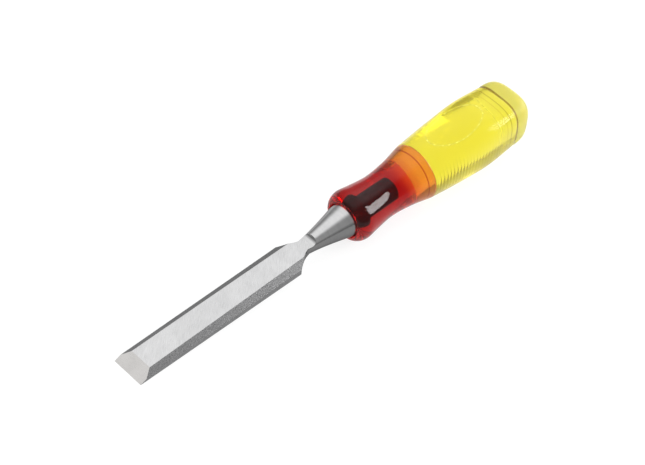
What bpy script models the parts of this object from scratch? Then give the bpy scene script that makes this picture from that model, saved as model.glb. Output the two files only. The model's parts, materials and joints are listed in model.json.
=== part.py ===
"""Bench chisel: a bevel-edged steel blade forged in one with its bolster and tang, a clear red
front grip and a clear yellow handle body.

The pieces are modelled in the tool frame: the cutting edge is at x = 0, +X runs to the butt, the
flat back of the blade is the plane z = 0 and the bevels face +Z. The tool is then laid down as it
rests on a bench, on its cutting edge and the flange of the red grip. Sizes are in metres.
"""

import math

import bmesh
import bpy
from mathutils import Vector

# Blade
BLADE_WIDTH = 0.019
BLADE_LENGTH = 0.103  # cutting edge to the shoulders
EDGE_ANGLE = math.radians(25)
THICKNESS = (0.0036, 0.0061)  # at the cutting edge's end and at the shoulders
LAND_HEIGHT = (0.0016, 0.0037)
TOP_WIDTH = (0.0130, 0.0115)
NECK_WIDTH = 0.0068  # where the ground top ends
SHOULDER_LENGTH = 0.014
SHOULDER_DRAFT = 0.0012  # how much narrower the neck is at the back, on each side
DRAFT_START = BLADE_LENGTH + 0.0011
GRIND_END = BLADE_LENGTH + 0.0126
GRIND_RADIUS = 0.0032

# Bolster and tang, turned about the tool's long axis
AXIS_HEIGHT = 0.0043
BOLSTER_START = BLADE_LENGTH + 0.0075
BOLSTER_NECK = BLADE_LENGTH + 0.0115
BOLSTER_END = 0.1420
BOLSTER_NECK_RADIUS = 0.0043
BOLSTER_RADIUS = 0.0097
STEP_RADIUS = 0.0060
STEP_END = 0.1502
TANG_RADIUS = 0.0040
TANG_END = 0.1740

# Front grip
GAP = 0.0003  # between neighbouring pieces
GRIP_FRONT = 0.1402
FLANGE_X, FLANGE_RADIUS = 0.1468, 0.0142
WAIST_X, WAIST_RADIUS = 0.1650, 0.0121
JOINT_X, JOINT_RADIUS = 0.1910, 0.0157
LIP_THICKNESS = 0.0011  # of the grip's thin rear lip

# Handle body
SPIGOT_NOSE = 0.1800
SPIGOT_RADIUS = 0.0118
SPIGOT_FULL = 0.1845  # where the nose reaches the spigot's full radius
SEAT_START = 0.1868  # of the wider seat under the grip's lip
BODY_STATIONS = (  # distance from the edge, half width across the flats, squareness
    (JOINT_X, JOINT_RADIUS, 2.0),
    (0.2020, 0.0163, 2.25),
    (0.2150, 0.0167, 2.6),
    (0.2320, 0.0170, 3.0),
    (0.2510, 0.0158, 3.1),
)
DOME_START = 0.2510
OVERALL_LENGTH = 0.2648
DOME_SQUARENESS = 3.3

SEGMENTS = 48
ARC_STEPS = 8


def clear_scene():
    for old in list(bpy.data.objects):
        bpy.data.objects.remove(old, do_unlink=True)


def new_collection(name):
    group = bpy.data.collections.new(name)
    bpy.context.scene.collection.children.link(group)
    return group


def material(name, colour, metallic, roughness):
    mat = bpy.data.materials.new(name)
    mat.use_nodes = True
    shader = mat.node_tree.nodes["Principled BSDF"]
    shader.inputs["Base Color"].default_value = (*colour, 1.0)
    shader.inputs["Metallic"].default_value = metallic
    shader.inputs["Roughness"].default_value = roughness
    return mat


def add_object(name, mesh, group):
    obj = bpy.data.objects.new(name, mesh)
    group.objects.link(obj)
    return obj


def add_cutter(name, mesh, group):
    obj = add_object(name, mesh, group)
    obj.hide_render = True
    obj.display_type = "WIRE"
    return obj


def combine(obj, other, operation):
    cut = obj.modifiers.new(other.name, "BOOLEAN")
    cut.object = other
    cut.operation = operation
    cut.solver = "EXACT"


def mesh_from(name, build):
    """A mesh filled in by build(bm)."""
    mesh = bpy.data.meshes.new(name)
    bm = bmesh.new()
    build(bm)
    bmesh.ops.recalc_face_normals(bm, faces=bm.faces)
    bm.to_mesh(mesh)
    bm.free()
    return mesh


def blend(ends, along):
    return ends[0] + (ends[1] - ends[0]) * along


def curve_points(start, handle, end, steps=ARC_STEPS):
    """Points of a quadratic curve from start to end."""
    points = []
    for i in range(steps + 1):
        s = i / steps
        weights = ((1 - s) ** 2, 2 * s * (1 - s), s**2)
        points.append(
            tuple(sum(w * p[k] for w, p in zip(weights, (start, handle, end))) for k in (0, 1))
        )
    return points


def arc_points(centre, radius, first, last, steps=ARC_STEPS):
    """Points of an elliptical arc; radius is one number or one for each direction."""
    rx, ry = radius if isinstance(radius, tuple) else (radius, radius)
    angles = [math.radians(first + (last - first) * i / steps) for i in range(steps + 1)]
    return [(centre[0] + rx * math.cos(a), centre[1] + ry * math.sin(a)) for a in angles]


def smooth_points(stations, x):
    """The values of a smooth curve through the stations, read at x."""
    last = len(stations) - 2
    i = min(last, max(0, sum(1 for s in stations[1:] if s[0] <= x)))
    a, b = stations[i], stations[i + 1]
    before, after = stations[max(i - 1, 0)], stations[min(i + 2, last + 1)]
    span = b[0] - a[0]
    s = (x - a[0]) / span
    values = []
    for k in range(1, len(a)):
        slope_a = (b[k] - before[k]) / (b[0] - before[0])
        slope_b = (after[k] - a[k]) / (after[0] - a[0])
        values.append(
            (2 * s**3 - 3 * s**2 + 1) * a[k]
            + (s**3 - 2 * s**2 + s) * span * slope_a
            + (3 * s**2 - 2 * s**3) * b[k]
            + (s**3 - s**2) * span * slope_b
        )
    return values


def plate(name, outline, thickness):
    """A flat outline in the local XY plane, extruded by half its thickness to either side."""
    curve = bpy.data.curves.new(name, "CURVE")
    curve.dimensions = "2D"
    curve.fill_mode = "BOTH"
    curve.extrude = thickness / 2
    spline = curve.splines.new("POLY")
    spline.points.add(len(outline) - 1)
    for point, (x, y) in zip(spline.points, outline):
        point.co = (x, y, 0, 1)
    spline.use_cyclic_u = True
    guide = bpy.data.objects.new(name, curve)
    bpy.context.scene.collection.objects.link(guide)
    graph = bpy.context.evaluated_depsgraph_get()
    mesh = bpy.data.meshes.new_from_object(guide.evaluated_get(graph))
    bpy.data.objects.remove(guide)
    bm = bmesh.new()
    bm.from_mesh(mesh)
    bmesh.ops.remove_doubles(bm, verts=bm.verts, dist=1e-6)
    bmesh.ops.recalc_face_normals(bm, faces=bm.faces)
    bm.to_mesh(mesh)
    bm.free()
    return mesh


def turned(obj_name, profile, group, make=add_object):
    """A body of revolution about the tool's axis from (x, radius) points, butt end first."""
    mesh = bpy.data.meshes.new(obj_name)
    verts = [(r, 0, x) for x, r in profile]
    mesh.from_pydata(verts, [(i, i + 1) for i in range(len(verts) - 1)], [])
    obj = make(obj_name, mesh, group)
    spin = obj.modifiers.new("turn", "SCREW")
    spin.angle = math.tau
    spin.steps = SEGMENTS
    spin.render_steps = SEGMENTS
    spin.use_merge_vertices = True
    spin.merge_threshold = 1e-5
    spin.use_smooth_shade = True
    obj.rotation_euler = (0, math.pi / 2, 0)
    obj.location = (0, 0, AXIS_HEIGHT)
    return obj


def blade_section(x, rise):
    """The bevel-edged section at x, its bevels carried on to rise above the ground top."""
    along = x / BLADE_LENGTH
    land, thick = blend(LAND_HEIGHT, along), blend(THICKNESS, along)
    half, top = BLADE_WIDTH / 2, blend(TOP_WIDTH, along) / 2
    inward = (half - top) / (thick - land) * rise
    sides = ((half, 0), (half, land), (top - inward, thick + rise))
    return [Vector((x, sign * y, z)) for sign in (1, -1) for y, z in sides]


def blade_bar():
    """The bar that the blade is ground from, a little longer than the blade at both ends."""

    def build(bm):
        for x in (-0.004, GRIND_END + 0.002):
            for point in blade_section(x, 0.002):
                bm.verts.new(point)
        bmesh.ops.convex_hull(bm, input=bm.verts)

    return mesh_from("blade", build)


def shoulder_outline():
    """Half widths of the blade in plan, from before the edge to inside the bolster."""
    neck = (BLADE_LENGTH + SHOULDER_LENGTH, NECK_WIDTH / 2)
    corner = (BLADE_LENGTH, BLADE_WIDTH / 2 + 1e-4)
    handle = (BLADE_LENGTH + 0.0040, 0.0056)
    return [(-0.006, corner[1])] + curve_points(corner, handle, neck)


def shoulder_cutter(group):
    """The plan outline of blade and shoulders, drawn in towards the back at the neck."""
    half = shoulder_outline()
    outline = half + [(x, -y) for x, y in reversed(half)]
    mesh = plate("shoulder_outline", outline, 0.012)
    for vert in mesh.vertices:
        vert.co.z += 0.004
        reach = min(1, max(0, (vert.co.x - DRAFT_START) / (0.5 * SHOULDER_LENGTH)))
        low = (THICKNESS[1] - vert.co.z) / THICKNESS[1]
        vert.co.y -= math.copysign(SHOULDER_DRAFT * reach * low, vert.co.y)
    cutter = add_cutter("shoulder_outline", mesh, group)
    cutter.modifiers.new("flat_faces", "TRIANGULATE")  # the drafted sides are twisted
    return cutter


def grind_cutter(group):
    """What the wheel takes off above the blade's flat top, ending in the wheel's radius."""

    def top(x):
        return blend(THICKNESS, x / BLADE_LENGTH)

    sweep = arc_points((GRIND_END, top(GRIND_END) + GRIND_RADIUS), GRIND_RADIUS, -90, 0)
    outline = [(-0.010, top(-0.010))] + sweep + [(sweep[-1][0], 0.020), (-0.010, 0.020)]
    cutter = add_cutter("top_grind", plate("top_grind", outline, 0.030), group)
    cutter.rotation_euler = (math.pi / 2, 0, 0)
    return cutter


def edge_cutter(group):
    """A block whose lower face is the ground bevel behind the cutting edge."""
    size = 0.030

    def build(bm):
        bmesh.ops.create_cube(bm, size=size)
        bmesh.ops.translate(bm, verts=bm.verts, vec=(0, 0, size / 2))

    cutter = add_cutter("edge_grind", mesh_from("edge_grind", build), group)
    cutter.rotation_euler = (0, -EDGE_ANGLE, 0)
    return cutter


def bolster_profile():
    """Tang, step, bolster and the round root that reaches into the blade's neck."""
    nose = arc_points((TANG_END - 0.002, 0), (0.002, TANG_RADIUS), 0, 90, 5)
    cone = curve_points(
        (BOLSTER_END, BOLSTER_RADIUS),
        (BOLSTER_NECK + 0.0080, BOLSTER_NECK_RADIUS + 0.0007),
        (BOLSTER_NECK, BOLSTER_NECK_RADIUS),
    )
    reach = BOLSTER_NECK - BOLSTER_START
    root = arc_points((BOLSTER_NECK, 0), (reach, BOLSTER_NECK_RADIUS), 90, 180, 5)
    step = [(STEP_END, TANG_RADIUS), (STEP_END, STEP_RADIUS), (BOLSTER_END, STEP_RADIUS)]
    return nose + step + cone + root[1:]


def make_blade(group, cutters, steel):
    blade = add_object("blade", blade_bar(), group)
    combine(blade, shoulder_cutter(cutters), "INTERSECT")
    combine(blade, turned("bolster_and_tang", bolster_profile(), cutters, add_cutter), "UNION")
    combine(blade, grind_cutter(cutters), "DIFFERENCE")
    combine(blade, edge_cutter(cutters), "DIFFERENCE")
    blade.data.materials.append(steel)
    return blade


def grip_outside():
    """The grip's outer side, from its rear edge forward to its front face."""
    stations = (
        (WAIST_X - 0.014, FLANGE_RADIUS - 0.0006),
        (WAIST_X, WAIST_RADIUS),
        (0.1790, 0.0133),
        (JOINT_X, JOINT_RADIUS),
    )
    count = 16
    start = WAIST_X - 0.014
    body = [start + (JOINT_X - start) * i / count for i in range(count, 0, -1)]
    side = [(x, smooth_points(stations, x)[0]) for x in body]
    mouth = BOLSTER_RADIUS + GAP
    rise = FLANGE_RADIUS - mouth
    bead = arc_points((FLANGE_X, mouth), (FLANGE_X - GRIP_FRONT, rise), 90, 180)
    shoulder = curve_points(
        (start, stations[0][1]), (FLANGE_X + 0.0018, FLANGE_RADIUS), (FLANGE_X, FLANGE_RADIUS), 3
    )
    return side + shoulder[:-1] + bead


def grip_profile():
    """Rear socket from its floor out, the outer side, then the front socket in to its floor."""
    bore = SPIGOT_RADIUS + GAP
    seat = JOINT_RADIUS - LIP_THICKNESS - 0.0006
    rear = [
        (SPIGOT_NOSE - GAP, 0),
        (SPIGOT_NOSE - GAP, 0.003),
        (SPIGOT_FULL - GAP, bore),
        (SEAT_START - GAP, bore),
        (SEAT_START - GAP, seat),
        (JOINT_X, JOINT_RADIUS - LIP_THICKNESS),
    ]
    front = [
        (BOLSTER_END + GAP, BOLSTER_RADIUS + GAP),
        (BOLSTER_END + GAP, STEP_RADIUS + GAP),
        (STEP_END + GAP, STEP_RADIUS + GAP),
        (STEP_END + GAP, TANG_RADIUS + GAP),
        (TANG_END - 0.001, TANG_RADIUS + GAP),
        (TANG_END + GAP, TANG_RADIUS * 0.6),
        (TANG_END + GAP, 0),
    ]
    return rear + grip_outside() + front


def make_grip(group, red):
    grip = turned("front_grip", grip_profile(), group)
    grip.data.materials.append(red)
    return grip


def handle_rings():
    """(x, half width, squareness) of each ring of the handle body, from its nose to its butt."""
    seat = JOINT_RADIUS - LIP_THICKNESS - 0.0009
    rings = [
        (SPIGOT_NOSE, 0.003 - GAP, 2),
        (SPIGOT_FULL, SPIGOT_RADIUS, 2),
        (SEAT_START, SPIGOT_RADIUS, 2),
        (SEAT_START, seat, 2),
        (JOINT_X + GAP, JOINT_RADIUS - LIP_THICKNESS - GAP, 2),
    ]
    count = 14
    for i in range(count + 1):
        x = JOINT_X + GAP + (DOME_START - JOINT_X - GAP) * i / count
        rings.append((x, *smooth_points(BODY_STATIONS, x)))
    dome = OVERALL_LENGTH - DOME_START
    for i in range(1, ARC_STEPS + 2):
        turn = math.pi / 2 * i / (ARC_STEPS + 2)
        forward, across = (f(turn) ** (2 / DOME_SQUARENESS) for f in (math.sin, math.cos))
        half, square = BODY_STATIONS[-1][1] * across, BODY_STATIONS[-1][2]
        rings.append((DOME_START + dome * forward, half, square))
    return rings


def ring_points(x, half, square):
    """One superellipse section, round at squareness 2."""
    points = []
    for k in range(SEGMENTS):
        turn = math.tau * k / SEGMENTS
        across = [math.copysign(abs(c) ** (2 / square), c) for c in (math.cos(turn), math.sin(turn))]
        points.append((x, half * across[0], half * across[1]))
    return points


def make_handle(group, yellow):
    def build(bm):
        rings = [[bm.verts.new(p) for p in ring_points(*ring)] for ring in handle_rings()]
        for a, b in zip(rings, rings[1:]):
            for k in range(SEGMENTS):
                j = (k + 1) % SEGMENTS
                bm.faces.new((a[k], a[j], b[j], b[k]))
        nose = bm.verts.new((SPIGOT_NOSE, 0, 0))
        butt = bm.verts.new((OVERALL_LENGTH, 0, 0))
        for k in range(SEGMENTS):
            j = (k + 1) % SEGMENTS
            bm.faces.new((nose, rings[0][j], rings[0][k]))
            bm.faces.new((butt, rings[-1][k], rings[-1][j]))

    handle = add_object("handle", mesh_from("handle", build), group)
    handle.location = (0, 0, AXIS_HEIGHT)
    handle.data.materials.append(yellow)
    handle.data.shade_smooth()
    handle.data.set_sharp_from_angle(angle=math.radians(40))
    return handle


def lay_down(frame, moulded):
    """Tips the tool about its cutting edge until a moulded piece touches z = 0, and centres it."""
    bpy.context.view_layer.update()
    graph = bpy.context.evaluated_depsgraph_get()
    shown = [piece.evaluated_get(graph) for piece in moulded]
    points = [piece.matrix_world @ v.co for piece in shown for v in piece.data.vertices]
    tilt = max(math.atan2(-p.z, p.x) for p in points)
    frame.rotation_euler = (0, -tilt, 0)
    reach = max(p.x * math.cos(tilt) - p.z * math.sin(tilt) for p in points)
    frame.location = (-reach / 2, 0, 0)


def main():
    clear_scene()
    group = new_collection("bench_chisel")
    cutters = new_collection("cutters")
    steel = material("steel", (0.56, 0.56, 0.57), 1.0, 0.3)
    red = material("red_plastic", (0.55, 0.01, 0.01), 0.0, 0.1)
    yellow = material("yellow_plastic", (0.85, 0.75, 0.03), 0.0, 0.1)
    blade = make_blade(group, cutters, steel)
    grip = make_grip(group, red)
    handle = make_handle(group, yellow)
    frame = add_object("tool_frame", None, group)
    for piece in (blade, grip, handle, *cutters.objects):
        piece.parent = frame
    lay_down(frame, (grip, handle))


main()
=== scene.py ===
"""Bench chisel: the looks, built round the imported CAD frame.

Every piece is made in the tool frame (cutting edge at x = 0, +X to the butt, flat back at z = 0,
bevels up) and placed by the TOOL matrix, which lays the tool on the bench as the CAD does.
"""

import json
import math

import bmesh
import bpy
import numpy as np
from mathutils import Matrix, Vector


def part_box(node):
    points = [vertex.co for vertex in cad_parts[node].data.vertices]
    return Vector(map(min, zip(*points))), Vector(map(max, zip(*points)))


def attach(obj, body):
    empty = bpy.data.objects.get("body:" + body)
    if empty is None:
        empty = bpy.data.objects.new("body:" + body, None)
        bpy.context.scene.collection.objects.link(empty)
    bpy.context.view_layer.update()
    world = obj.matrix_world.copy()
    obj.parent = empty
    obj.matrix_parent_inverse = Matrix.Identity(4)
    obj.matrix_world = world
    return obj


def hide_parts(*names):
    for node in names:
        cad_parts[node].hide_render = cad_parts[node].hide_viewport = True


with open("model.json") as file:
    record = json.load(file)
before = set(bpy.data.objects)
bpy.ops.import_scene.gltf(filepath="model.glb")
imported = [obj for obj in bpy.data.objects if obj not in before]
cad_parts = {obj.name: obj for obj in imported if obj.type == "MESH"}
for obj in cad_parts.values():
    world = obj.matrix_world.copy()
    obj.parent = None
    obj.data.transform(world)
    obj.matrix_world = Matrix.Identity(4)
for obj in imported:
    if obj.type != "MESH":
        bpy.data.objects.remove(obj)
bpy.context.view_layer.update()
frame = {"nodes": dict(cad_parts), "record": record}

MM = 0.001

# The tool frame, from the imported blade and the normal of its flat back.
back_normal = Vector(frame["record"]["mounts"][0]["axis"])
TILT = math.atan2(back_normal.x, -back_normal.z)
EDGE_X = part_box("blade")[0].x
TOOL = Matrix.Translation((EDGE_X, 0, 0)) @ Matrix.Rotation(-TILT, 4, "Y")


def reach(node):
    """Nearest and farthest point of a CAD node along the tool, from the cutting edge."""
    to_tool = TOOL.inverted()
    along = [(to_tool @ v.co).x for v in frame["nodes"][node].data.vertices]
    return min(along), max(along)


# Sizes shared with the CAD model, in the tool frame
AXIS_HEIGHT = 4.3 * MM
BLADE_LENGTH = 103 * MM
GRIND_END = 115.6 * MM
BOLSTER_END, BOLSTER_RADIUS = 142.0 * MM, 9.7 * MM
BOLSTER_CHAMFER = 0.3 * MM
STEP_END, STEP_RADIUS = 150.2 * MM, 6.0 * MM
TANG_RADIUS = 4.0 * MM
TANG_END = reach("blade")[1]
TANG_TAPER, TANG_TIP_RADIUS = 2 * MM, 1.5 * MM
GRIP_FRONT = reach("front_grip")[0]
FLANGE_X, FLANGE_RADIUS = 146.8 * MM, 14.2 * MM
WAIST_X, WAIST_RADIUS = 165.0 * MM, 12.1 * MM
JOINT_X, JOINT_RADIUS = reach("front_grip")[1], 15.7 * MM
LIP_THICKNESS = 1.1 * MM
SHOULDER_X, SHOULDER_RADIUS = WAIST_X - 14 * MM, FLANGE_RADIUS - 0.6 * MM
GRIP_STATIONS = (  # distance from the edge, radius
    (SHOULDER_X, SHOULDER_RADIUS),
    (WAIST_X, WAIST_RADIUS),
    (179 * MM, 13.3 * MM),
    (JOINT_X, JOINT_RADIUS),
)
CROWN_X = FLANGE_X + 1.8 * MM  # draws the shoulder's curve out to the flange
MOUTH_RADIUS = BOLSTER_RADIUS + 0.3 * MM  # of the grip's open front
SPIGOT_NOSE = reach("handle")[0]
SPIGOT_FULL, SPIGOT_RADIUS = 184.5 * MM, 11.8 * MM
SEAT_START, SEAT_RADIUS = 186.8 * MM, JOINT_RADIUS - LIP_THICKNESS
CLOSE_RADIUS = 0.2 * MM  # of the ring where a piece closes on its axis
SPIGOT = (  # the yellow body inside the red grip, from its nose back
    (SPIGOT_NOSE, CLOSE_RADIUS),
    (SPIGOT_NOSE, 2.7 * MM),
    (SPIGOT_FULL, SPIGOT_RADIUS),
    (SEAT_START, SPIGOT_RADIUS),
    (SEAT_START, SEAT_RADIUS - 0.6 * MM),
    (JOINT_X, SEAT_RADIUS),
)
BODY_STATIONS = (  # distance from the edge, half width across the flats, squareness
    (JOINT_X, JOINT_RADIUS, 2.0),
    (202 * MM, 16.3 * MM, 2.25),
    (215 * MM, 16.7 * MM, 2.6),
    (232 * MM, 17.0 * MM, 3.0),
    (251 * MM, 15.8 * MM, 3.1),
)
DOME_START = BODY_STATIONS[-1][0]
BUTT = reach("handle")[1]
DOME_SQUARENESS = 3.3
SKIN = 0.04 * MM  # how far clear plastic sinks into what it was moulded on, so no air shows

# Relief of the handle body: the grip ribs, the oval on top, and grooves before the butt as
# (place, depth, width)
RIB_PITCH, RIB_DEPTH = 2.3 * MM, 0.11 * MM
RIB_SPAN = (191.5 * MM, 243 * MM)
RIB_FADE = (0.44, 0.5)  # share of the span, from its middle, over which the ribs die out
RIB_REACH = (52, 42)  # degrees to either side of the flank's middle, at the span's two ends
OVAL_X, OVAL_LENGTH, OVAL_WIDTH = 218 * MM, 37 * MM, 19 * MM
OVAL_RISE = 0.02 * MM  # of its line, as a bump in the material
WAVE_RISE = 0.002 * MM  # the faint unevenness of moulded plastic, also as a bump
GROOVES = ((246.3 * MM, 0.10 * MM, 0.35 * MM), (DOME_START, 0.30 * MM, 0.7 * MM))

AROUND = 288  # points round the clear plastic pieces
RING_STEP = 0.3 * MM  # between the rings of the handle body
SOCKET_STEP = 0.8 * MM  # between the rings where one piece is inside another
SIDE_STEPS, SHOULDER_STEPS, BEAD_STEPS = 90, 12, 28  # along the grip's outside
EVENING_PASSES = 24
DOME_STEPS = 60


# --- curves -----------------------------------------------------------------------------------


def curve_points(start, handle, end, steps):
    """Points of a quadratic curve from start to end."""
    points = []
    for i in range(steps + 1):
        s = i / steps
        weights = ((1 - s) ** 2, 2 * s * (1 - s), s**2)
        points.append(
            tuple(sum(w * p[k] for w, p in zip(weights, (start, handle, end))) for k in (0, 1))
        )
    return points


def arc_points(centre, radii, first, last, steps):
    """Points of an elliptical arc between two angles in degrees."""
    angles = [math.radians(first + (last - first) * i / steps) for i in range(steps + 1)]
    return [(centre[0] + radii[0] * math.cos(a), centre[1] + radii[1] * math.sin(a)) for a in angles]


def smooth_values(stations, x):
    """The values of a smooth curve through the stations, read at x."""
    last = len(stations) - 2
    i = min(last, max(0, sum(1 for s in stations[1:] if s[0] <= x)))
    a, b = stations[i], stations[i + 1]
    before, after = stations[max(i - 1, 0)], stations[min(i + 2, last + 1)]
    span = b[0] - a[0]
    s = (x - a[0]) / span
    values = []
    for k in range(1, len(a)):
        slope_a = (b[k] - before[k]) / (b[0] - before[0])
        slope_b = (after[k] - a[k]) / (after[0] - a[0])
        values.append(
            (2 * s**3 - 3 * s**2 + 1) * a[k]
            + (s**3 - 2 * s**2 + s) * span * slope_a
            + (3 * s**2 - 2 * s**3) * b[k]
            + (s**3 - s**2) * span * slope_b
        )
    return values


def spaced(points, step):
    """The points of a line, with more put in so that none are further apart than step."""
    out = [points[0]]
    for a, b in zip(points, points[1:]):
        count = max(1, math.ceil(math.dist(a, b) / step))
        out += [tuple(p + (q - p) * i / count for p, q in zip(a, b)) for i in range(1, count + 1)]
    return out


def evened(points, passes):
    """The points of a profile with their radii evened out, so that no crease is left."""
    radii = np.array([radius for _, radius in points])
    for _ in range(passes):
        radii[1:-1] = 0.25 * (radii[:-2] + 2 * radii[1:-1] + radii[2:])
    return [(x, radius) for (x, _), radius in zip(points, radii)]


def ease(value, low, high):
    """0 below low, 1 above high, smooth between; works on arrays."""
    s = np.clip((value - low) / (high - low), 0, 1)
    return s * s * (3 - 2 * s)


# --- meshes -----------------------------------------------------------------------------------


def place(name, mesh, node):
    """A new piece, from a mesh in the tool frame, that stands for a CAD node."""
    mesh.transform(TOOL)
    piece = bpy.data.objects.new(name, mesh)
    bpy.context.scene.collection.objects.link(piece)
    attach(piece, "root")
    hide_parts(node)
    return piece


def ring_mesh(name, rings, fused):
    """A closed skin over rings of points; the first and last rings close on a point each.

    A face between two rings flagged as fused touches another piece, and is marked "fused"."""
    count = len(rings[0])
    verts = np.concatenate([[rings[0].mean(0)], *rings, [rings[-1].mean(0)]])
    faces = []
    for i in range(len(rings) - 1):
        a, b = 1 + i * count, 1 + (i + 1) * count
        for k in range(count):
            j = (k + 1) % count
            faces.append((a + k, b + k, b + j, a + j))
    tail = len(verts) - 1
    for k in range(count):
        j = (k + 1) % count
        faces.append((0, 1 + k, 1 + j))
        faces.append((tail, tail - count + j, tail - count + k))
    mesh = bpy.data.meshes.new(name)
    mesh.from_pydata(verts.tolist(), [], faces)
    mesh.validate()
    bm = bmesh.new()
    bm.from_mesh(mesh)
    bmesh.ops.recalc_face_normals(bm, faces=bm.faces)
    bm.to_mesh(mesh)
    bm.free()
    on_ring = [fused[0], *(flag for flag in fused for _ in range(count)), fused[-1]]
    layer = mesh.attributes.new("fused", "FLOAT", "FACE")
    layer.data.foreach_set("value", [float(all(on_ring[k] for k in f.vertices)) for f in mesh.polygons])
    mesh.shade_smooth()
    return mesh


TURN = np.linspace(0, math.tau, AROUND, endpoint=False)  # the angles of a ring's points


def round_ring(x, radius):
    """Points round the tool's axis at x; the radius is one number or one for each point."""
    ring = np.empty((AROUND, 3))
    ring[:, 0] = x
    ring[:, 1] = radius * np.cos(TURN)
    ring[:, 2] = AXIS_HEIGHT + radius * np.sin(TURN)
    return ring


def square_ring(x, half, square):
    """A superellipse section, round at squareness 2, with points spread evenly by angle."""
    cos, sin = np.abs(np.cos(TURN)), np.abs(np.sin(TURN))
    radius = half / (cos**square + sin**square) ** (1 / square)
    return round_ring(x, radius)


# --- the red front grip -----------------------------------------------------------------------


def grip_outside():
    """The grip's outer side from its rear edge forward to its front face."""
    length = JOINT_X - SKIN - SHOULDER_X
    along = [SHOULDER_X + length * i / SIDE_STEPS for i in range(SIDE_STEPS, 0, -1)]
    side = [(x, smooth_values(GRIP_STATIONS, x)[0]) for x in along]
    crown, top = (CROWN_X, FLANGE_RADIUS), (FLANGE_X, FLANGE_RADIUS)
    shoulder = curve_points(GRIP_STATIONS[0], crown, top, SHOULDER_STEPS)
    bead_size = (FLANGE_X - GRIP_FRONT, FLANGE_RADIUS - MOUTH_RADIUS)
    bead = arc_points((FLANGE_X, MOUTH_RADIUS), bead_size, 90, 180, BEAD_STEPS)
    return evened(side + shoulder[:-1], EVENING_PASSES) + bead


def make_grip():
    """Rear socket from its floor out, the outer side, then the front socket in to its floor."""
    rear = [(x - SKIN, radius + SKIN) for x, radius in SPIGOT]
    front = [
        (BOLSTER_END - BOLSTER_CHAMFER, BOLSTER_RADIUS - SKIN),
        (BOLSTER_END - SKIN, BOLSTER_RADIUS - BOLSTER_CHAMFER),
        (BOLSTER_END - SKIN, STEP_RADIUS - SKIN),
        (STEP_END - SKIN, STEP_RADIUS - SKIN),
        (STEP_END - SKIN, TANG_RADIUS - SKIN),
        (TANG_END - TANG_TAPER, TANG_RADIUS - SKIN),
        (TANG_END - SKIN, TANG_TIP_RADIUS),
        (TANG_END - SKIN, CLOSE_RADIUS),
    ]
    parts = (spaced(rear, SOCKET_STEP), grip_outside(), spaced(front, SOCKET_STEP))
    fused = [True] * (len(parts[0]) + 1) + [False] * (len(parts[1]) - 1) + [True] * len(parts[2])
    rings = [round_ring(x, r) for part in parts for x, r in part]
    piece = place("front_grip_clear", ring_mesh("front_grip_clear", rings, fused), "front_grip")
    piece.data.materials.append(clear_plastic("clear_red", RED))
    return piece


# --- the yellow handle body -------------------------------------------------------------------


def relief(x):
    """How far the body's skin stands proud at x, for each point round it."""
    from_flank = np.abs(np.angle(np.exp(2j * TURN))) / 2  # angle from the nearer flank
    middle = 0.5 * (RIB_SPAN[0] + RIB_SPAN[1])
    along = 1 - ease(abs(x - middle) / (RIB_SPAN[1] - RIB_SPAN[0]), *RIB_FADE)
    widest = math.radians(np.interp(x, RIB_SPAN, RIB_REACH))
    beside = 1 - ease(from_flank, 0.75 * widest, widest)
    wave = 0.5 - 0.5 * math.cos(math.tau * (x - RIB_SPAN[0]) / RIB_PITCH)
    rise = -RIB_DEPTH * (1 - wave**4) * along * beside
    for groove_x, depth, width in GROOVES:
        rise = rise - depth * math.exp(-(((x - groove_x) / (0.5 * width)) ** 2))
    return rise


def raised(ring, rise):
    """The ring moved outwards from the tool's axis by rise."""
    out = ring - (ring[0, 0], 0, AXIS_HEIGHT)
    radius = np.linalg.norm(out, axis=1)
    return ring + out * (rise / radius)[:, None]


def body_rings():
    """The rings of the handle body from the joint back, then those of its domed butt."""
    count = math.ceil((DOME_START - JOINT_X) / RING_STEP)
    rings = []
    for i in range(count + 1):
        x = JOINT_X + (DOME_START - JOINT_X) * i / count
        half, square = smooth_values(BODY_STATIONS, x)
        rings.append(raised(square_ring(x, half, square), relief(x)))
    half, square = BODY_STATIONS[-1][1:]
    for i in range(1, DOME_STEPS):
        turn = math.pi / 2 * i / DOME_STEPS
        forward, across = (f(turn) ** (2 / DOME_SQUARENESS) for f in (math.sin, math.cos))
        x = DOME_START + (BUTT - DOME_START) * forward
        rings.append(raised(square_ring(x, half * across, square), relief(x)))
    return rings


def make_handle():
    """The spigot from its nose back to the joint, then the body and its domed butt."""
    nose = spaced(SPIGOT, SOCKET_STEP)
    body = body_rings()
    rings = [round_ring(x, r) for x, r in nose] + body
    fused = [True] * (len(nose) + 1) + [False] * (len(body) - 1)
    piece = place("handle_body_clear", ring_mesh("handle_body_clear", rings, fused), "handle")
    piece.data.materials.append(clear_plastic("clear_yellow", YELLOW))
    return piece


# --- the steel --------------------------------------------------------------------------------


TOP, BEVEL, EDGE, TURNED, TANG = range(5)  # the order of STEEL_FINISHES
MERGE_ANGLE = math.radians(0.4)  # faces this close to one plane are one flat face
SHARP_ANGLE, SOFTEN_ANGLE = math.radians(24), math.radians(28)
EDGE_RADIUS = 0.12 * MM
FLAT = 0.98  # the least upward or downward part of a flat top's or back's normal
EDGE_GRIND = 12 * MM  # the slope at the cutting edge lies within this
BEVEL_END = BLADE_LENGTH + 4 * MM  # no ground bevel reaches past it
TANG_START = BOLSTER_END - 0.2 * MM  # the step and the tang lie behind it


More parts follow.
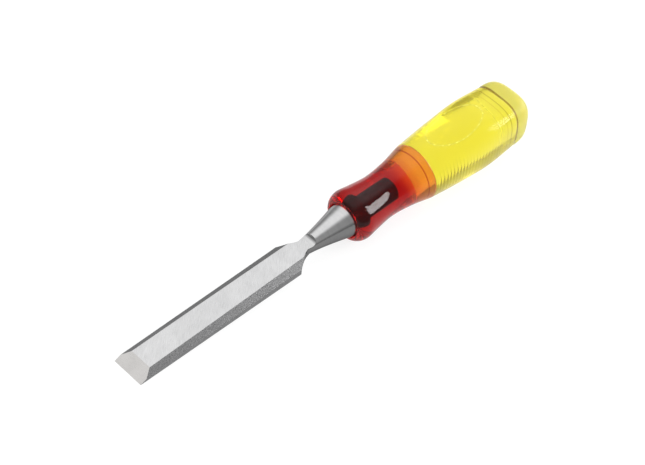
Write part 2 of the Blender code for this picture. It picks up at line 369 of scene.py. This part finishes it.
def make_steel():
    """The CAD forging with its flat faces merged, its edges softened and one finish per face."""
    mesh = frame["nodes"]["blade"].data.copy()
    mesh.transform(TOOL.inverted())
    mesh.materials.clear()
    bm = bmesh.new()
    bm.from_mesh(mesh)
    bmesh.ops.remove_doubles(bm, verts=bm.verts, dist=1e-6)
    bmesh.ops.dissolve_limit(
        bm, angle_limit=MERGE_ANGLE, verts=bm.verts, edges=bm.edges, use_dissolve_boundaries=False
    )
    for face in bm.faces:
        face.material_index = steel_finish(face)
        face.smooth = True
    bm.to_mesh(mesh)
    bm.free()
    mesh.set_sharp_from_angle(angle=SHARP_ANGLE)
    piece = place("blade_and_bolster", mesh, "blade")
    for finish in STEEL_FINISHES:
        piece.data.materials.append(steel_material(finish))
    edge = piece.modifiers.new("softened_edges", "BEVEL")
    edge.width = EDGE_RADIUS
    edge.segments = 2
    edge.limit_method = "ANGLE"
    edge.angle_limit = SOFTEN_ANGLE
    edge.harden_normals = True
    return piece


def steel_finish(face):
    """Which finish a face of the forging has, from where it is and which way it faces."""
    centre, normal = face.calc_center_median(), face.normal
    if centre.x > TANG_START:
        return TANG
    if centre.x > GRIND_END:
        return TURNED
    if abs(normal.z) > FLAT:
        return TOP
    if normal.x < -0.3 and centre.x < EDGE_GRIND:
        return EDGE
    return BEVEL if centre.x < BEVEL_END else TURNED


# --- materials --------------------------------------------------------------------------------


class Nodes:
    """Short calls for building the node tree of a material or a world."""

    def __init__(self, owner):
        owner.use_nodes = True
        self.owner, self.tree = owner, owner.node_tree
        self.tree.nodes.clear()

    def add(self, kind, inputs=None, **settings):
        """A node of this kind; its inputs are given as values or as sockets to link to."""
        node = self.tree.nodes.new("ShaderNode" + kind)
        for key, value in settings.items():
            setattr(node, key, value)
        for key, value in (inputs or {}).items():
            socket = node.inputs[key]
            if isinstance(value, bpy.types.NodeSocket):
                self.tree.links.new(value, socket)
            else:
                socket.default_value = value
        return node

    def math(self, operation, *values):
        node = self.add("Math", dict(enumerate(values)), operation=operation)
        return node.outputs[0]

    def remap(self, value, low, high, to_low, to_high):
        inputs = {"Value": value, "From Min": low, "From Max": high}
        inputs |= {"To Min": to_low, "To Max": to_high}
        return self.add("MapRange", inputs).outputs[0]

    def multiply(self, colour, factor, share=1.0):
        inputs = {0: share, 6: colour, 7: factor}
        node = self.add("Mix", inputs, data_type="RGBA", blend_type="MULTIPLY")
        return node.outputs[2]

    def fade(self, value, nothing, full):
        """0 to 1 as a value goes from nothing to full, with soft ends."""
        inputs = {"Value": value, "From Min": nothing, "From Max": full}
        node = self.add("MapRange", inputs, interpolation_type="SMOOTHSTEP")
        return node.outputs[0]

    def cells(self, size=(1, 1, 1), turn=0.0):
        """Tool-frame coordinates counted in cells of this size, turned about the tool's Z."""
        axes = TOOL.to_3x3() @ Matrix.Rotation(math.radians(turn), 3, "Z")
        inputs = {
            "Vector": self.add("TexCoord").outputs["Object"],
            "Location": TOOL.translation,
            "Rotation": axes.to_euler(),
            "Scale": size,
        }
        return self.add("Mapping", inputs, vector_type="TEXTURE").outputs[0]

    def noise(self, size, detail=2.0, rough=0.5, turn=0.0):
        """Noise whose grains have this size in metres, one number or one for each direction."""
        size = size if isinstance(size, tuple) else (size, size, size)
        inputs = {"Vector": self.cells(size, turn), "Scale": 1.0, "Detail": detail, "Roughness": rough}
        return self.add("TexNoise", inputs).outputs["Fac"]

    def output(self, surface, volume=None):
        inputs = {"Surface": surface}
        if volume is not None:
            inputs["Volume"] = volume
        self.add("OutputMaterial", inputs)
        return self.owner


LEAN_HEIGHT = 12 * MM  # where a leaning change of look is at its own place
# The painted shade rings and the oval are put on the upper side only
UPPER_SIDE = (-6 * MM, 0.0)  # heights over which the marks of the upper side come in
# A painted shade ring widens across the tool, so the shade at the crease is wider on the far side
RING_GROWTH = (-4 * MM, 12 * MM)  # places across the tool between which a ring grows wider
# The oval, in shares of its own half size: half width of its line, and where its inside ends
OVAL_LINE, OVAL_INSIDE = 0.10, (0.88, 0.95)
OVAL_TINT = (1, 0.97, 0.4, 1)

# Each plastic has a front and a rear look, and changes from one to the other over "change".
#   tints       the two tints
#   slant       how far the change leans forward with height
#   clear       share of the light that goes straight through, front and rear
#   loss        what is lost inside in each metre, in red, green and blue
#   roughness   from polished to worn, front and rear
#   shine       how strongly it mirrors straight on, next to plain plastic
#   oval        1 where it carries the oval on top
#   rings       darker rings of painted shade: place, half width, growth of that across the tool, tint left
# The rings are painted shade along the grooves, the crease, the seat step and the joint, on the upper
# side
RED = {
    "tints": ((0.44, 0.004, 0.006), (0.82, 0.14, 0.025)),
    "change": (172 * MM, 186 * MM),
    "slant": 0.5,
    "clear": (0.98, 0.92),
    "loss": (6, 60, 90),
    "roughness": ((0.03, 0.06), (0.05, 0.10)),
    "shine": 0.45,
    "oval": 0.0,
    # painted shade: dark lines where the seat step inside and the joint show
    "rings": (
        (SEAT_START, 0.5 * MM, 0.1 * MM, (0.50, 0.06, 0.1)),
        (JOINT_X, 0.6 * MM, 0.0, (0.7, 0.35, 0.3)),
    ),
}
YELLOW = {
    "tints": ((0.88, 0.80, 0.10), (1.0, 0.96, 0.24)),
    "change": (249 * MM, 252 * MM),
    "slant": 0.0,
    "clear": (0.84, 0.66),
    "loss": (0.1, 0.5, 20),
    "roughness": ((0.05, 0.13), (0.32, 0.42)),
    "shine": 0.08,
    "oval": 1.0,
    # painted shade: dark lines at and beside the grooves before the butt, darkest at the crease
    "rings": (
        (243.0 * MM, 0.3 * MM, 0.0, (0.7, 0.6, 0.5)),
        (GROOVES[0][0], 0.4 * MM, 0.0, (0.4, 0.33, 0.3)),
        (DOME_START, 0.9 * MM, 0.5 * MM, (0.22, 0.13, 0.05)),
    ),
}


def oval_parts(n, along, across):
    """How much of a point is on the oval's raised line, and how much inside it."""
    a = n.math("DIVIDE", n.math("SUBTRACT", along, OVAL_X), 0.5 * OVAL_LENGTH)
    b = n.math("DIVIDE", across, 0.5 * OVAL_WIDTH)
    distance = n.math("SQRT", n.math("MULTIPLY_ADD", a, a, n.math("MULTIPLY", b, b)))
    off = n.math("ABSOLUTE", n.math("SUBTRACT", distance, 1.0))
    return n.remap(off, 0.0, OVAL_LINE, 1.0, 0.0), n.remap(distance, *OVAL_INSIDE, 1.0, 0.0)


def clear_plastic(name, colour):
    """Clear moulded plastic, coloured by how far light goes through it, with rings of painted shade.

    Where the piece is fused to its neighbour there is no air, so light isn't bent there."""
    n = Nodes(bpy.data.materials.new(name))
    wear = n.noise(1.2 * MM, 3)
    along, across, up = n.add("SeparateXYZ", {0: n.cells()}).outputs
    # the upper side, where the painted shade rings and the oval go
    upper = n.remap(up, *UPPER_SIDE, 0.0, 1.0)
    leaning = n.math("MULTIPLY_ADD", up, colour["slant"], -LEAN_HEIGHT * colour["slant"])
    share = n.remap(n.math("ADD", along, leaning), *colour["change"], 0.0, 1.0)
    first, last = ((*tint, 1) for tint in colour["tints"])
    tint = n.add("Mix", {0: share, 6: first, 7: last}, data_type="RGBA").outputs[2]
    low, high = (n.remap(share, 0.0, 1.0, *ends) for ends in zip(*colour["roughness"]))
    rough = n.remap(wear, 0.4, 0.75, low, high)
    # Painted shade: darker rings at the grooves, the crease, the seat step and the joint, on the upper
    # side
    for where, half_width, growth, painted_shade_tint in colour["rings"]:
        off = n.math("ABSOLUTE", n.math("SUBTRACT", along, where))
        off = n.math("SUBTRACT", off, n.remap(across, *RING_GROWTH, 0.0, growth))
        ring = n.math("MULTIPLY", n.remap(off, 0.4 * half_width, half_width, 1.0, 0.0), upper)
        tint = n.multiply(tint, (*painted_shade_tint, 1), ring)
    on_top = n.math("MULTIPLY", upper, colour["oval"])
    line, inside = (n.math("MULTIPLY", on_top, part) for part in oval_parts(n, along, across))
    paler = n.math("MULTIPLY", line, 0.15)
    tint = n.add("Mix", {0: paler, 6: tint, 7: OVAL_TINT}, data_type="RGBA")
    rough = n.math("ADD", rough, n.math("MULTIPLY_ADD", line, 0.2, n.math("MULTIPLY", inside, 0.05)))
    clear = n.math("MULTIPLY_ADD", line, -0.14, n.remap(share, 0.0, 1.0, *colour["clear"]))
    stipple = n.math("MULTIPLY", n.noise(0.9 * MM, 1), inside)
    waves = n.math("MULTIPLY", n.math("ADD", n.noise(8 * MM, 1), stipple), WAVE_RISE / MM)
    height = n.math("MULTIPLY_ADD", line, OVAL_RISE / MM, waves)
    bump = n.add("Bump", {"Height": height, "Strength": 1.0, "Distance": MM})
    shader = n.add(
        "BsdfPrincipled",
        {
            "Base Color": tint.outputs[2],
            "Roughness": rough,
            "IOR": 1.48,
            "Specular Tint": (*3 * (colour["shine"],), 1),
            "Transmission Weight": clear,
            "Normal": bump.outputs[0],
        },
    )
    joined = n.add("BsdfTransparent", {"Color": (1, 1, 1, 1)})
    fused = n.add("Attribute", attribute_name="fused").outputs["Fac"]
    touching = n.math("GREATER_THAN", fused, 0.5)
    surface = n.add("MixShader", {0: touching, 1: shader.outputs[0], 2: joined.outputs[0]})
    density = max(colour["loss"])
    passes = [1 - loss / density for loss in colour["loss"]]
    volume = n.add("VolumeAbsorption", {"Color": (*passes, 1), "Density": density})
    return n.output(surface.outputs[0], volume.outputs[0])


SPREAD = (0.3, 0.7)  # where most of a noise's values lie
# Between these two the painted shade on steep flanks fades out
STEEP, GENTLE = 0.47, 0.61  # upward part of a steep flank's normal, and of a gentler face's
# Name, colour, share of the tone left on steep flanks by painted shade, roughness, grain size across
# and along the scratches, their turn, how much the grain shows in the tone and in the bump
STEEL_FINISHES = (
    ("steel_ground_top", (0.51, 0.51, 0.513), 1.0, 0.30, (0.14 * MM, 5 * MM), -48, 0.16, 0.2),
    ("steel_ground_bevel", (0.26, 0.26, 0.263), 1.0, 0.30, (0.22 * MM, 0.7 * MM), 15, 0.28, 0.3),
    ("steel_honed_edge", (0.47, 0.46, 0.45), 1.0, 0.30, (0.12 * MM, 2 * MM), 0, 0.10, 0.15),
    ("steel_turned", (0.48, 0.48, 0.483), 0.43, 0.20, (0.12 * MM, 8 * MM), 0, 0.12, 0.1),
    ("steel_dark_tang", (0.06, 0.055, 0.055), 1.0, 0.5, (0.3 * MM, 3 * MM), 0, 0.2, 0.3),
)


def steel_material(finish):
    """Ground or turned steel: fine scratches one way, a slow change of tone, painted shade on steep
    flanks.
    """
    name, colour, painted_flank_shade, rough, size, turn, contrast, strength = finish
    n = Nodes(bpy.data.materials.new(name))
    grain = n.noise((*size, size[1]), 3, 0.6, turn)
    cloud = n.noise(8 * MM, 3)
    speck = n.remap(grain, *SPREAD, 1 - contrast, 1 + contrast)
    tone = n.math("ADD", speck, n.remap(cloud, *SPREAD, -0.05, 0.05))
    facing = n.add("SeparateXYZ", {0: n.add("NewGeometry").outputs["Normal"]}).outputs["Z"]
    # Painted shade: the tone is darkened where the normal leans to the side, standing in for dim
    # reflections
    tone = n.math("MULTIPLY", tone, n.remap(facing, STEEP, GENTLE, painted_flank_shade, 1.0))
    base = n.multiply((*colour, 1), tone)
    bump = n.add("Bump", {"Height": grain, "Strength": strength, "Distance": 0.02 * MM})
    shader = n.add(
        "BsdfPrincipled",
        {
            "Base Color": base,
            "Metallic": 1.0,
            "Specular Tint": (0.5, 0.5, 0.5, 1),
            "Roughness": n.remap(grain, *SPREAD, rough - 0.05, rough + 0.07),
            "Normal": bump.outputs[0],
        },
    )
    return n.output(shader.outputs[0])


# --- stage ------------------------------------------------------------------------------------

SKY, STUDIO = 1.45, 0.45  # the light overhead, and all round
# The overhead light runs from nothing to full, and back on the far side: (nothing, full) twice,
# as angles about X and as the direction's X
SKY_EDGES = [math.radians(turn) for turn in (20, 56, 122, 94)]
SKY_ENDS = (-0.995, -0.401, 0.995, 0.698)
# Name, place, the point it faces, size, power
SOFTBOXES = (
    ("side_softbox", (0.925, -0.81, 0.60), (0.02, 0, 0.02), (0.38, 0.85), 11),
    ("end_softbox", (1.3, -0.3, 0.35), (0.12, 0, 0.02), (0.7, 0.7), 7),
)
TABLE_SIZE = 8
TABLE_GLOW = (0.85, 0.72)  # as seen, and in mirrored rays
BOUNCES = 24

# The camera at the photograph's angle
CAMERA_PLACE = (-0.5704, -0.4780, 0.7745)
CAMERA_LOOK = (0.5317, 0.4509, -0.7170)
CAMERA_RIGHT = (0.7190, -0.6876, 0.1008)
CAMERA_LENS = 119.3


def look_matrix(place_at, look, right):
    """A camera's matrix, from its place, the way it looks and the way to its right."""
    back = -Vector(look).normalized()
    side = Vector(right)
    side = (side - back * side.dot(back)).normalized()
    axes = Matrix((side, back.cross(side), back)).transposed()
    return Matrix.Translation(place_at) @ axes.to_4x4()


def add_softbox(name, where, aim, size, power):
    """An oval lamp that faces a point."""
    data = bpy.data.lights.new(name, "AREA")
    data.shape = "ELLIPSE"
    data.size, data.size_y = size
    data.energy = power
    lamp = bpy.data.objects.new(name, data)
    bpy.context.scene.collection.objects.link(lamp)
    lamp.location = where
    lamp.rotation_euler = (Vector(aim) - Vector(where)).to_track_quat("-Z", "Y").to_euler()


def make_world():
    """A wide soft light overhead, a little to the far side, in a dim studio."""
    world = bpy.data.worlds.new("studio")
    bpy.context.scene.world = world
    n = Nodes(world)
    x, y, z = n.add("SeparateXYZ", {0: n.add("TexCoord").outputs["Generated"]}).outputs
    turn = n.math("ARCTAN2", z, y)
    over = n.math("MULTIPLY", n.fade(turn, *SKY_EDGES[:2]), n.fade(turn, *SKY_EDGES[2:]))
    side = n.math("MULTIPLY", n.fade(x, *SKY_ENDS[:2]), n.fade(x, *SKY_ENDS[2:]))
    soft = n.math("MULTIPLY", over, side)
    strength = n.math("MULTIPLY_ADD", soft, SKY - STUDIO, STUDIO)
    background = n.add("Background", {"Color": (1, 1, 1, 1), "Strength": strength})
    n.add("OutputWorld", {"Surface": background.outputs[0]})


def make_stage():
    """The pale table, the lights and the camera."""
    scene = bpy.context.scene
    scene.view_settings.view_transform = "Standard"
    scene.cycles.max_bounces = scene.cycles.glossy_bounces = BOUNCES
    scene.cycles.transmission_bounces = scene.cycles.transparent_max_bounces = BOUNCES
    bpy.ops.mesh.primitive_plane_add(size=TABLE_SIZE, location=(0, 0, 0))
    floor = bpy.context.object
    floor.name = "floor"
    n = Nodes(bpy.data.materials.new("lit_table"))
    mirrored = n.add("LightPath").outputs["Is Reflection Ray"]
    shader = n.add(
        "BsdfPrincipled",
        {
            "Base Color": (0.2, 0.2, 0.2, 1),
            "Roughness": 0.9,
            "Specular IOR Level": 0.0,
            "Emission Color": (1, 1, 1, 1),
            "Emission Strength": n.remap(mirrored, 0.0, 1.0, *TABLE_GLOW),
        },
    )
    floor.data.materials.append(n.output(shader.outputs[0]))
    make_world()
    for softbox in SOFTBOXES:
        add_softbox(*softbox)

    camera = bpy.data.objects.new("camera", bpy.data.cameras.new("camera"))
    scene.collection.objects.link(camera)
    camera.data.lens = CAMERA_LENS
    camera.data.sensor_width = 36
    camera.data.clip_start, camera.data.clip_end = 0.05, 20
    camera.matrix_world = look_matrix(CAMERA_PLACE, CAMERA_LOOK, CAMERA_RIGHT)
    scene.camera = camera


make_steel()
make_grip()
make_handle()
make_stage()
